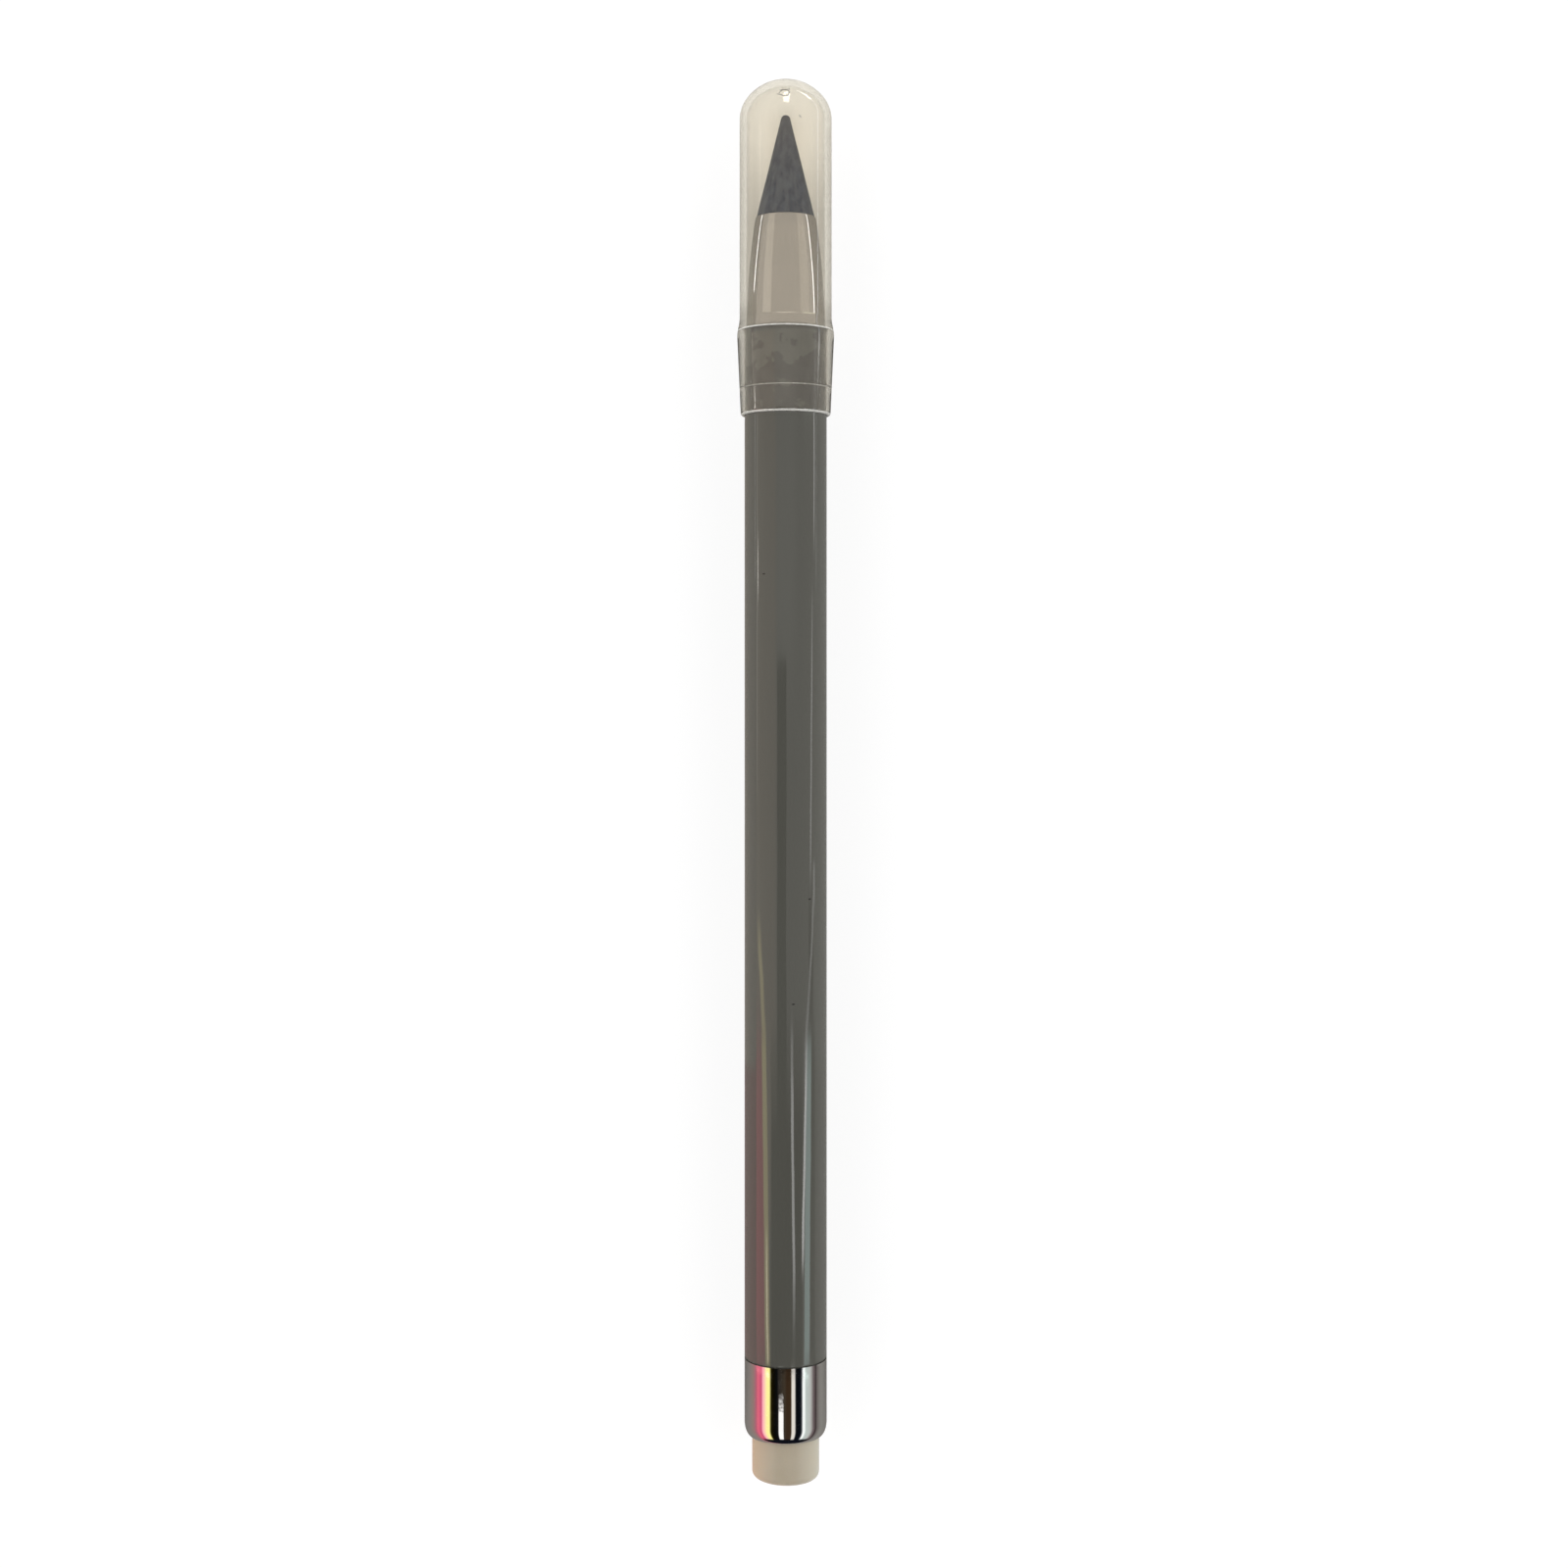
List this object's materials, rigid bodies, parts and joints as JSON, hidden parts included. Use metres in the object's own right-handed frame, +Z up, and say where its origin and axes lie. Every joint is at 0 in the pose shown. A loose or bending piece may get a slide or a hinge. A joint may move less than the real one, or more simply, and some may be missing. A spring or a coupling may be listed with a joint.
{
  "type": "inkless pencil",
  "caption": "Slim inkless pencil: grey tube barrel, plated taper and dark cone nib under a clear domed pull-off cap, and a plated ferrule that holds a pale eraser.",
  "frame": {"origin": "on the ground under the middle of the pencil's length, with the pencil lying on its side", "axes": "+X along the pencil from the eraser to the cap's dome, +Z up, +Y to the left of +X"},
  "size_m": [0.17, 0.0118, 0.0118],
  "materials": {
    "barrel_plastic": "glossy moulded plastic, warm grey",
    "bright_plating": "bright mirror plating",
    "eraser_vinyl": "soft matt vinyl, warm off-white",
    "carrier_plastic": "plain black moulding",
    "nib_composite": "pressed graphite composite, dull dark grey",
    "clear_styrene": "clear moulded styrene with a faint warm smoke tint"
  },
  "bodies": {
    "barrel": {"barrel": "barrel_plastic", "ferrule": "bright_plating", "eraser": "eraser_vinyl"},
    "nib_unit": {"nib": "nib_composite", "nib_carrier": "carrier_plastic", "taper_sleeve": "bright_plating"},
    "cap": {"cap": "clear_styrene"}
  },
  "joints": [
    {"name": "cap_pull", "type": "slide", "parent": "barrel", "child": "cap", "axis": [1, 0, 0], "range_m": [0, 0.04]},
    {"name": "nib_unscrew", "type": "slide", "parent": "barrel", "child": "nib_unit", "axis": [1, 0, 0], "range_m": [0, 0.003]}
  ]
}
